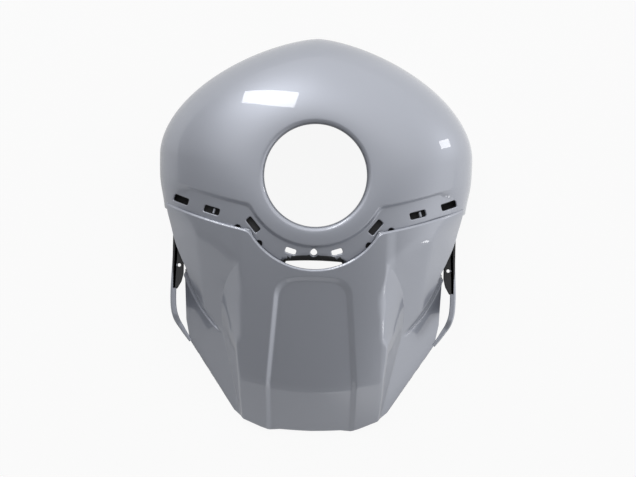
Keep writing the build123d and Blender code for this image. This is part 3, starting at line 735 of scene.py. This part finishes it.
def let_in(loop, depth):
    """A loop moved in along its own side's normals."""
    along = np.roll(loop, -1, 0) - np.roll(loop, 1, 0)
    along /= np.linalg.norm(along, axis=1, keepdims=True)
    return loop + depth * np.stack([-along[:, 1], along[:, 0]], 1)


def rear_busy(q, step=1.5, least=0.15):
    """True where the rear skin bends sharply: its height differs from the mean of its neighbours."""
    h = rear_height(q[:, 0], q[:, 1])
    bend = np.zeros(len(q))
    for way in ((step, 0), (0, step)):
        p, m = q + way, q - way
        both = rear_height(p[:, 0], p[:, 1]) + rear_height(m[:, 0], m[:, 1])
        bend = np.maximum(bend, np.abs(both - 2 * h))
    return bend > least


SEAM_END, OUTLINE_STEP, COVER_END = 196.5, 1.5, -346
WING_EDGE = ((-38, 197), (-77, 190), (-123.5, 171))
KNEE_CORNERS = ((174, -125), (174.5, -195), (170, -224.5), (106.5, -319.5), (92.5, -330.5))
CHIN_CORNERS = ((67.5, -341.5), (60, -344), (55, -345.8), (50, -345.4), (42, -344.4), (20, -345.4))
REAR_LOW, REAR_HIGH = (-198, -349), (198, -30)
BOSS_RADIUS, BOSS_SINK = 6.0, 0.7 * WALL

seam = seam_line(FLANGE_SHOWN, COVER_DIP, SEAM_END, OUTLINE_STEP)
edge_y = np.linspace(seam[-1, 1], WING_EDGE[-1][0], 60)[1:]
wing_edge = np.column_stack([np.polyval(np.polyfit(*zip(*WING_EDGE), 2), edge_y), edge_y])
rest = corner_loop([*KNEE_CORNERS, *CHIN_CORNERS, (0, COVER_END)], OUTLINE_STEP)
rest = rest[:np.argmin(np.hypot(rest[:, 0], rest[:, 1] - COVER_END))]
half = np.concatenate([seam, wing_edge, rest])
rear_outline = np.concatenate([half, [(0, COVER_END)], half[1:][::-1] * (-1, 1)])[::-1]
rear_outline = let_in(rear_outline, EDGE)
q, tris = trimmed_net([rear_outline], net_points(REAR_LOW, REAR_HIGH, COARSE, FINE, rear_busy), CLEAR)
rear_parts = [moulding(rear_skin(q), facing(rear_skin, q), tris)]
for side in (-1, 1):
    for x, y, _ in SCREW_SPOTS:
        post = ring(BOSS_RADIUS, step=1.2) + (side * x, y)
        root = rear_height(post[:, 0], post[:, 1]) - BOSS_SINK
        rear_parts.append(walls([at_height(post, under_cover(x, y)), at_height(post, root)]))
rear_cover = make_piece("rear_cover_skin", rear_parts, [grey_paint, black_plastic])
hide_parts("rear_cover")

# Cover screws: blackened steel screws with a washer head, turned from bar.
# They pull the rear cover's bosses down on the front cover's pads from below.

STEEL, STEEL_WORN = (0.02, 0.02, 0.022, 1), (0.06, 0.06, 0.064, 1)
black_steel, shader, tree, place = new_finish("black_steel", Metallic=0.8)
patch = tree.node("ShaderNodeTexNoise", Vector=place, Scale=220.0, Detail=4.0)
feed(shader, Base_Color=patch.mix(STEEL, STEEL_WORN), Roughness=patch * 0.3 + 0.35)
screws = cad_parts["cover_screws"]
screws.data.materials.clear()
screws.data.materials.append(black_steel)

# Studio floor: a plain pale sheet under the covers' rim, lit up for the camera as a white background.
# For glossy rays it glows, brighter ahead of the covers and near their right side: a painted reflection in
# the lacquer.

FLOOR_HALF, FLOOR_Z = 6.0, (LIFT - RIM_DROP) * MM
SEEN_GLOW, MIRROR_AHEAD, MIRROR_RIGHT, MIRROR_ALL = 0.92, 0.55, 0.7, 0.15
floor_mesh = bpy.data.meshes.new("floor")
corners = [(sx * FLOOR_HALF, sy * FLOOR_HALF, FLOOR_Z) for sx, sy in ((-1, -1), (1, -1), (1, 1), (-1, 1))]
floor_mesh.from_pydata(corners, [], [(0, 1, 2, 3)])
floor = bpy.data.objects.new("floor", floor_mesh)
bpy.context.scene.collection.objects.link(floor)
floor_finish, shader, tree, place = new_finish("floor_white", Roughness=0.9, Base_Color=(0.6, 0.6, 0.6, 1))
nodes, links = floor_finish.node_tree.nodes, floor_finish.node_tree.links
path = nodes.new("ShaderNodeLightPath")
seen = Shade(floor_finish.node_tree, path.outputs["Is Camera Ray"])
# Glow seen only by glossy rays, stronger ahead and to the right: painted reflection.
glossy_glow = Shade(floor_finish.node_tree, path.outputs["Is Glossy Ray"])
beside, ahead = (tree.node("ShaderNodeSeparateXYZ", out=k, Vector=place) for k in (0, 1))
near_right = beside.rise(0.05, 0.3) - beside.rise(0.5, 1.2) * 0.4
glossy_glow = glossy_glow * (ahead.rise(-0.1, 0.3) * MIRROR_AHEAD + near_right * MIRROR_RIGHT + MIRROR_ALL)
lit = tree.node("ShaderNodeEmission", Color=(1, 1, 1, 1), Strength=1.0)
blend = nodes.new("ShaderNodeMixShader")
links.new((seen * SEEN_GLOW + glossy_glow).socket, blend.inputs[0])
links.new(shader.outputs[0], blend.inputs[1])
links.new(lit.socket, blend.inputs[2])
links.new(blend.outputs[0], nodes["Material Output"].inputs[0])
floor_mesh.materials.append(floor_finish)

# Studio light: a room that is brighter ahead of the covers and to their right, a lit card that the dome
# mirrors as a window, and two small softboxes for the glints on the right.

AMBIENT, FRONT_GLOW, RIGHT_GLOW = 0.28, 0.87, 0.95
FRONT_RIGHT_DIM, FRONT_LEFT_DIM, RIGHT_FRONT_DIM, RIGHT_REAR_DIM, RIGHT_HIGH_DIM = 0.4, 0.75, 0.8, 0.4, 0.45
world = bpy.data.worlds.new("studio")
bpy.context.scene.world = world
world.use_nodes = True
sky = Shade(world.node_tree)
way = sky.node("ShaderNodeTexCoord", out=0)
east, north, up = (sky.node("ShaderNodeSeparateXYZ", out=k, Vector=way) for k in (0, 1, 2))
front_share = 1 - east.rise(0.3, 0.95) * FRONT_RIGHT_DIM - (east * -1).rise(0.3, 0.95) * FRONT_LEFT_DIM
right_share = 1 - north.rise(-0.3, 0.4) * RIGHT_FRONT_DIM
right_share = right_share * (1 - (north * -1).rise(0.4, 0.75) * RIGHT_REAR_DIM)
right_share = right_share * (1 - up.rise(0.3, 0.75) * RIGHT_HIGH_DIM)
front_glow = north.rise(-0.12, 0.32) * front_share * FRONT_GLOW
room_glow = front_glow + east.rise(0.2, 0.9) * right_share * RIGHT_GLOW + AMBIENT
backdrop = world.node_tree.nodes["Background"]
backdrop.inputs["Color"].default_value = (1, 1, 1, 1)
world.node_tree.links.new(room_glow.socket, backdrop.inputs["Strength"])

WINDOW_GLOW = 6.5
WINDOW_CORNERS = ((-1.13, 1.7, 0.67), (-0.28, 1.35, 1.5), (-0.27, 0.91, 1.97), (-1.1, 1.38, 1.03))
card_mesh = bpy.data.meshes.new("window_card")
card_mesh.from_pydata(WINDOW_CORNERS, [], [(0, 1, 2, 3)])
card = bpy.data.objects.new("window_card", card_mesh)
card.visible_camera = False
bpy.context.scene.collection.objects.link(card)
card_finish = bpy.data.materials.new("window_light")
card_finish.use_nodes = True
lit = Shade(card_finish.node_tree).node("ShaderNodeEmission", Color=(1, 1, 1, 1), Strength=WINDOW_GLOW)
card_finish.node_tree.links.new(lit.socket, card_finish.node_tree.nodes["Material Output"].inputs[0])
card_mesh.materials.append(card_finish)

LIT_SPOT = Vector((0.0, -0.08, -0.05))


def softbox(name, spot, size, along, watts):
    """A rectangular lamp that faces the object, its long side along a direction."""
    lamp = bpy.data.lights.new(name, "AREA")
    lamp.shape, lamp.size, lamp.size_y, lamp.energy = "RECTANGLE", size[0], size[1], watts
    holder = bpy.data.objects.new(name, lamp)
    back = (Vector(spot) - LIT_SPOT).normalized()
    side = Vector(along) - back * back.dot(Vector(along))
    side.normalize()
    turned = Matrix((side, back.cross(side), back)).transposed().to_4x4()
    holder.matrix_world = Matrix.Translation(spot) @ turned
    bpy.context.scene.collection.objects.link(holder)


softbox("right_softbox", (1.82, 0.67, 0.3), (0.5, 0.2), (0.1, 0.0, 1.0), 1.6)
softbox("low_softbox", (1.44, -1.03, 0.14), (0.16, 0.07), (0.0, 0.0, 1.0), 0.2)

# Camera: it looks straight down the filler axis from one and a half metres,
# turned a little about that axis.

LOOK, DISTANCE, LENS, TURN = Vector((0.0049, -0.0797, LIFT * MM)), 1.5, 67.5, np.radians(1.3)
camera_data = bpy.data.cameras.new("photo_camera")
camera_data.lens, camera_data.sensor_width = LENS, 36.0
camera = bpy.data.objects.new("photo_camera", camera_data)
camera.matrix_world = Matrix.Translation(LOOK + Vector((0, 0, DISTANCE))) @ Matrix.Rotation(TURN, 4, "Z")
bpy.context.scene.collection.objects.link(camera)
bpy.context.scene.camera = camera
bpy.context.scene.view_settings.view_transform = "Standard"
